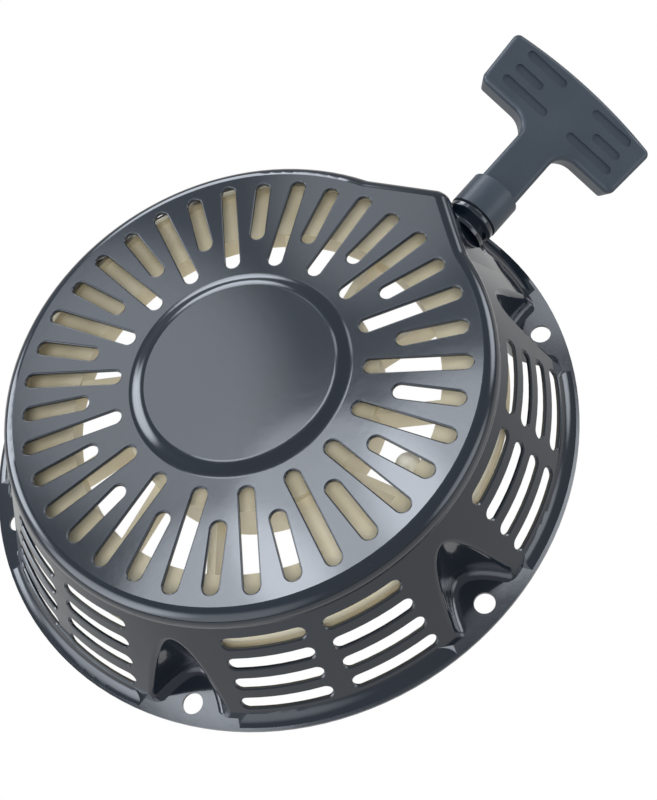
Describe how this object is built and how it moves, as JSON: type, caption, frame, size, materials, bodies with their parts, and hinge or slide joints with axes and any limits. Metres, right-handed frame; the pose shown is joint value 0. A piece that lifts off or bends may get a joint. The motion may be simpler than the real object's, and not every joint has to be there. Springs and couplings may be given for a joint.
{
  "type": "recoil starter",
  "caption": "Pull-cord starter: slotted pressed-steel cover with vented skirt and flange, cord reel on a flat spiral spring, T grip on a side nose, pawls beneath.",
  "frame": {"origin": "centre of the mounting bolt circle, in the plane of the flange's engine side", "axes": "+Z along the reel's axis out of the slotted cover, +X the way the cord is pulled out"},
  "size_m": [0.2701, 0.214, 0.0462],
  "materials": {
    "case_paint": "gloss",
    "steel": "satin",
    "guide_black": "gloss",
    "liner": "gloss",
    "reel_nylon": "satin",
    "bush": "satin",
    "spring_steel": "satin",
    "cord": "matte",
    "grip_plastic": "satin",
    "hard_steel": "satin",
    "zinc_bolt": "satin"
  },
  "bodies": {
    "housing": {"case": "case_paint", "centre_post": "steel", "rope_guide": "guide_black", "guide_liner": "liner", "rope_lead": "cord", "thrust_washer": "steel", "retainer_washer": "steel", "guide_sleeve": "steel", "friction_spring": "spring_steel", "centre_bolt": "zinc_bolt", "recoil_spring": "spring_steel"},
    "reel": {"reel": "reel_nylon", "reel_bush": "bush", "spring_cover": "reel_nylon", "rope_coil": "cord", "reel_knot": "cord", "pawl_pins": "steel", "pawl_spring_1": "spring_steel", "pawl_spring_2": "spring_steel"},
    "pawl_1": {"pawl_1": "hard_steel"},
    "pawl_2": {"pawl_2": "hard_steel"},
    "ratchet_guide": {"ratchet_guide": "hard_steel"},
    "pull_cord": {"pull_rope": "cord", "grip_knot": "cord", "knot_washer": "steel"},
    "grip": {"grip": "grip_plastic"}
  },
  "joints": [
    {"name": "reel_spin", "type": "hinge", "parent": "housing", "child": "reel", "pos_m": [0, 0, 0.02525], "axis": [0, 0, -1], "range_deg": [0, 640], "stiffness_Nm_per_rad": 0.03, "springref_deg": -515.66, "deforming": ["recoil_spring"]},
    {"name": "grip_pull", "type": "slide", "parent": "housing", "child": "pull_cord", "axis": [1, 0, 0], "range_m": [0, 0.88], "deforming": ["pull_rope"]},
    {"name": "grip_twist", "type": "hinge", "parent": "pull_cord", "child": "grip", "pos_m": [0.13, -0.0165, 0.02525], "axis": [1, 0, 0], "range_deg": [-65, 5]},
    {"name": "ratchet_guide_turn", "type": "hinge", "parent": "reel", "child": "ratchet_guide", "pos_m": [0, 0, 0.006], "axis": [0, 0, 1], "range_deg": [0, 25]},
    {"name": "pawl_1_swing", "type": "hinge", "parent": "reel", "child": "pawl_1", "pos_m": [0, 0.026, 0.008], "axis": [0, 0, 1], "range_deg": [0, 30], "stiffness_Nm_per_rad": 0.004, "springref_deg": -17.19},
    {"name": "pawl_2_swing", "type": "hinge", "parent": "reel", "child": "pawl_2", "pos_m": [0, -0.026, 0.008], "axis": [0, 0, 1], "range_deg": [0, 30], "stiffness_Nm_per_rad": 0.004, "springref_deg": -17.19}
  ],
  "couplings": [
    {"joint": "grip_pull", "follows": "reel_spin", "m_per_rad": 0.0787},
    {"joint": "pawl_1_swing", "follows": "ratchet_guide_turn", "ratio": 1.2},
    {"joint": "pawl_2_swing", "follows": "ratchet_guide_turn", "ratio": 1.2}
  ]
}
